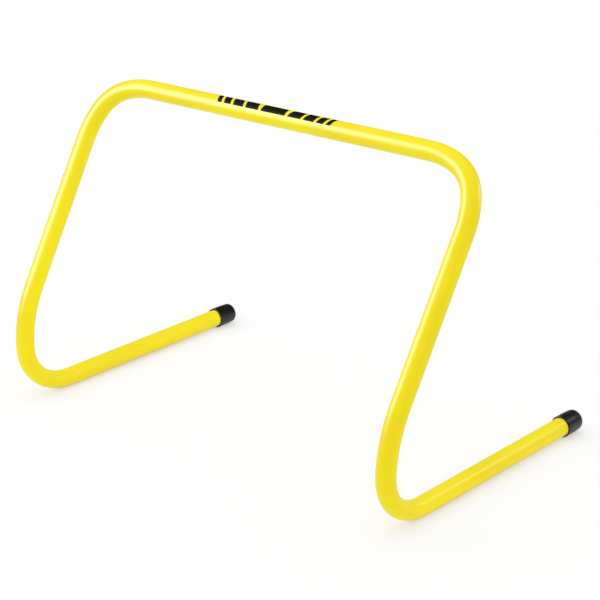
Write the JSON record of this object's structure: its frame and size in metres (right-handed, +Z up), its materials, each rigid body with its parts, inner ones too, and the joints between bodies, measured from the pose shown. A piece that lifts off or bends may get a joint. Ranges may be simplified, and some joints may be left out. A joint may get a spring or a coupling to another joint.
{
  "type": "speed hurdle",
  "caption": "Low training hurdle: a tube bent into a crossbar, uprights that lean back and feet that run under it, with soft caps on the feet's ends.",
  "frame": {"origin": "on the floor, under the middle of the hurdle's box", "axes": "+X along the crossbar to the right, +Y along the feet from the lower bends to the caps, +Z up"},
  "size_m": [0.462, 0.2933, 0.3],
  "materials": {
    "yellow_tube": "extruded yellow PVC, half gloss",
    "black_cap": "soft black vinyl, half matt",
    "black_print": "black screen ink, half matt"
  },
  "bodies": {
    "root": {"bent_tube": "yellow_tube", "left_end_cap": "black_cap", "right_end_cap": "black_cap"}
  },
  "joints": []
}
